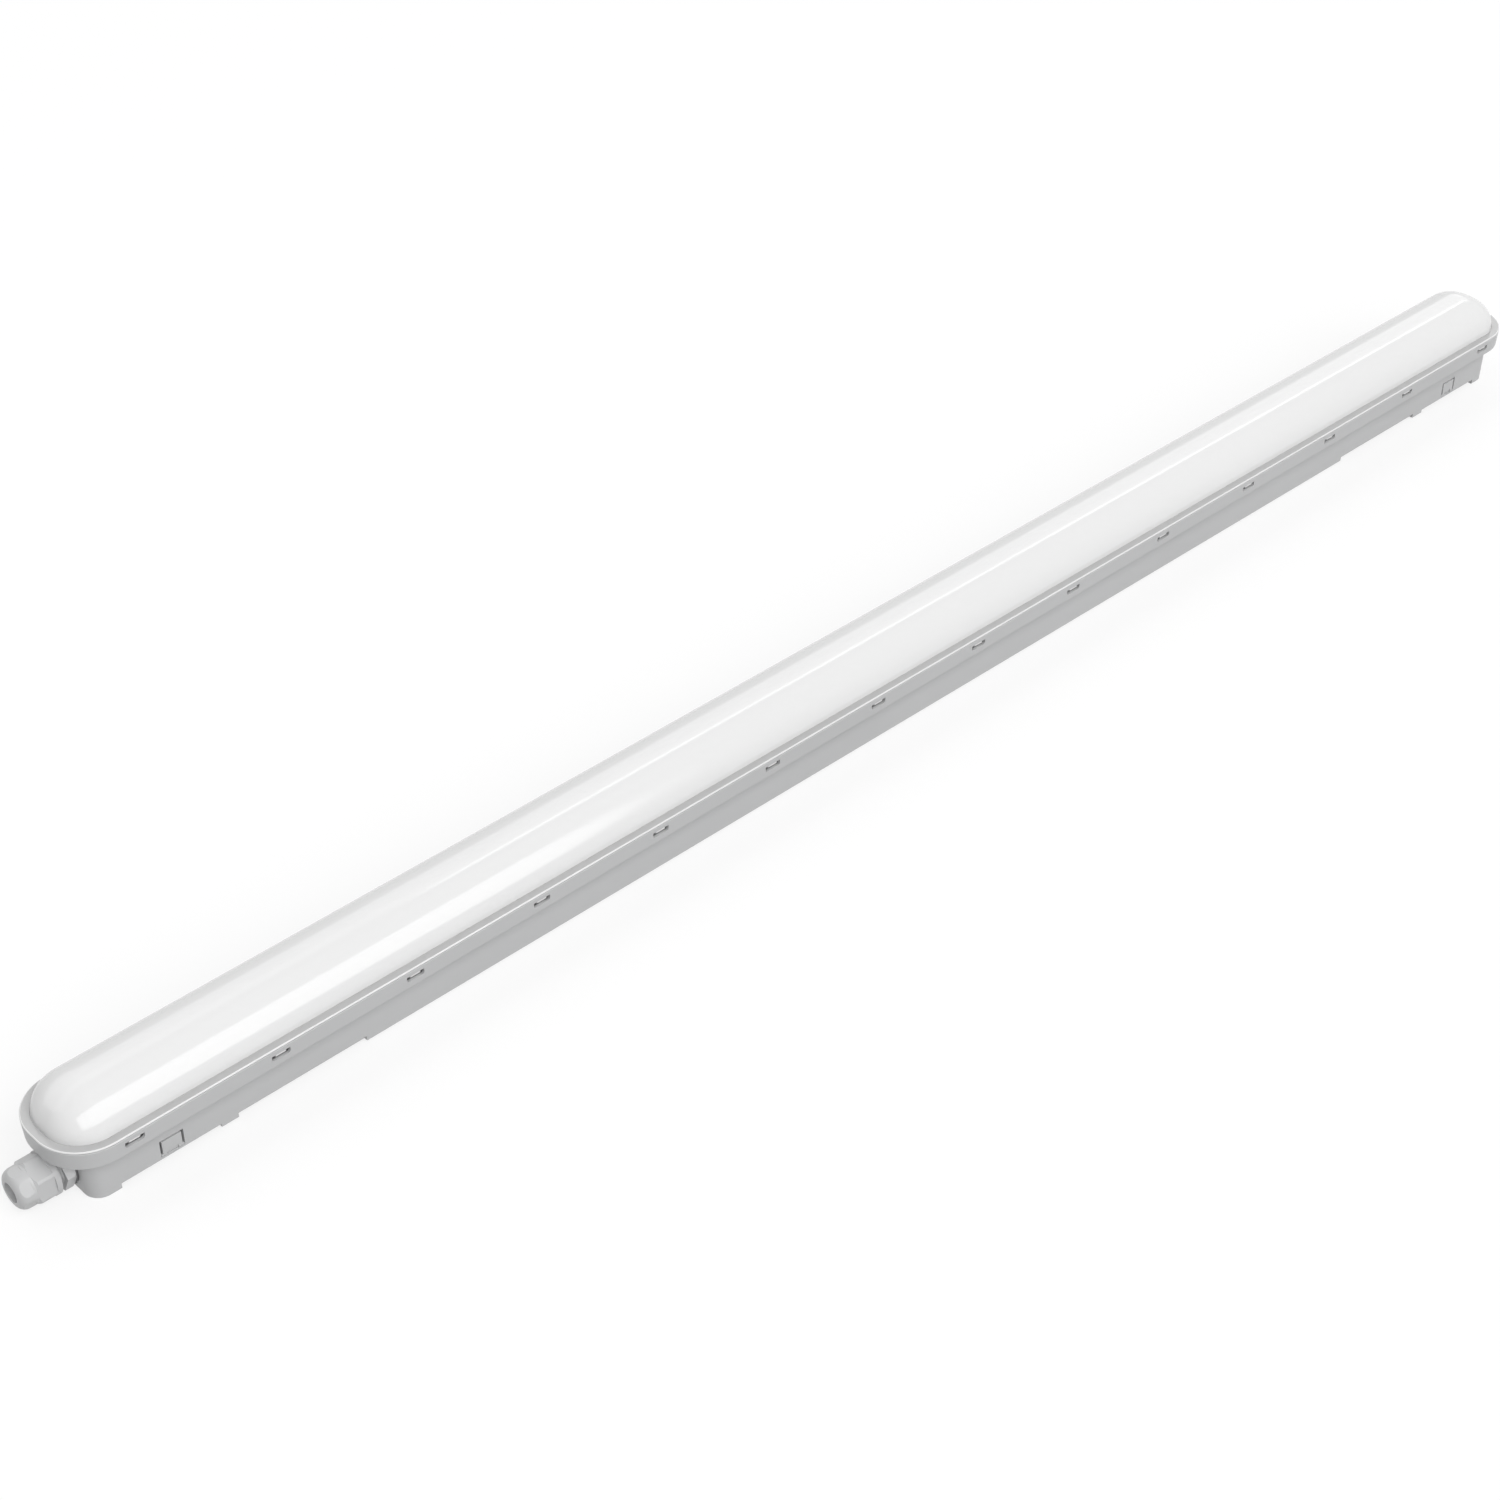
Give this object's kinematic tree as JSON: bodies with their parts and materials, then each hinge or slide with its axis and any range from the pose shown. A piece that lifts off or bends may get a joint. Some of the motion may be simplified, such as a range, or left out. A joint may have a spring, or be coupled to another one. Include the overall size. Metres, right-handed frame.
{
  "type": "vapor tight light fixture",
  "caption": "Long sealed light fixture with a moulded grey housing, a domed opal clip-on cover, and a cable gland at one end, lying on its back.",
  "frame": {"origin": "under the middle of the whole part, gland included, on the plane that the back's feet rest on", "axes": "+X along the fixture, away from the gland; +Z from the back towards the cover; +Y across"},
  "size_m": [1.2848, 0.067, 0.0646],
  "materials": {
    "housing": "fine moulded matte",
    "gland": "moulded satin",
    "cover": "opal, soft gloss",
    "rubber": "matte",
    "seal": "matte",
    "enamel": "white enamel",
    "driver": "matte",
    "board": "white solder mask",
    "connector": "moulded white",
    "steel": "zinc plated",
    "live": "wire sleeve",
    "neutral": "wire sleeve",
    "earth": "wire sleeve",
    "red": "wire sleeve",
    "black": "wire sleeve"
  },
  "bodies": {
    "housing_body": {"housing": "housing", "gasket": "rubber", "gland_body": "gland", "gland_washer": "rubber", "gear_tray": "enamel", "led_board_1": "board", "led_board_2": "board", "led_board_3": "board", "board_link_1": "connector", "board_link_2": "connector", "lead_plug": "connector", "tray_screw_1": "steel", "tray_screw_2": "steel", "tray_screw_3": "steel", "tray_screw_4": "steel", "driver_screw_1": "steel", "driver_screw_2": "steel", "earth_screw": "steel", "driver_case": "driver", "driver_lid": "driver", "terminal_block": "connector", "live_wire": "live", "neutral_wire": "neutral", "earth_wire": "earth", "red_lead": "red", "black_lead": "black", "grommet": "seal", "wire_clip_1": "connector", "wire_clip_2": "connector"},
    "cover_body": {"cover": "cover"},
    "seal_body": {"gland_seal": "seal"},
    "nut_body": {"gland_nut": "gland"},
    "tab_body_1": {"spring_tab_1": "housing"},
    "tab_body_2": {"spring_tab_2": "housing"},
    "tab_body_3": {"spring_tab_3": "housing"},
    "tab_body_4": {"spring_tab_4": "housing"}
  },
  "joints": [
    {"name": "cover_lift", "type": "slide", "parent": "housing_body", "child": "cover_body", "axis": [0, 0, 1], "range_m": [0, 0.12]},
    {"name": "gland_advance", "type": "slide", "parent": "housing_body", "child": "seal_body", "axis": [1, 0, 0], "range_m": [-0.0106, 0.0024]},
    {"name": "gland_nut_turn", "type": "hinge", "parent": "seal_body", "child": "nut_body", "pos_m": [-0.61905, 0, 0.0136], "axis": [1, 0, 0], "range_deg": [-2520, 540]},
    {"name": "tab_flex_1", "type": "hinge", "parent": "housing_body", "child": "tab_body_1", "pos_m": [-0.55945, -0.02415, 0.0058], "axis": [-1, 0, 0], "range_deg": [0, 10], "stiffness_Nm_per_rad": 0.4},
    {"name": "tab_flex_2", "type": "hinge", "parent": "housing_body", "child": "tab_body_2", "pos_m": [-0.55945, 0.02415, 0.0058], "axis": [1, 0, 0], "range_deg": [0, 10], "stiffness_Nm_per_rad": 0.4},
    {"name": "tab_flex_3", "type": "hinge", "parent": "housing_body", "child": "tab_body_3", "pos_m": [0.57755, -0.02415, 0.0058], "axis": [-1, 0, 0], "range_deg": [0, 10], "stiffness_Nm_per_rad": 0.4},
    {"name": "tab_flex_4", "type": "hinge", "parent": "housing_body", "child": "tab_body_4", "pos_m": [0.57755, 0.02415, 0.0058], "axis": [1, 0, 0], "range_deg": [0, 10], "stiffness_Nm_per_rad": 0.4}
  ],
  "couplings": [
    {"joint": "gland_advance", "follows": "gland_nut_turn", "m_per_rad": 0.00023873}
  ]
}
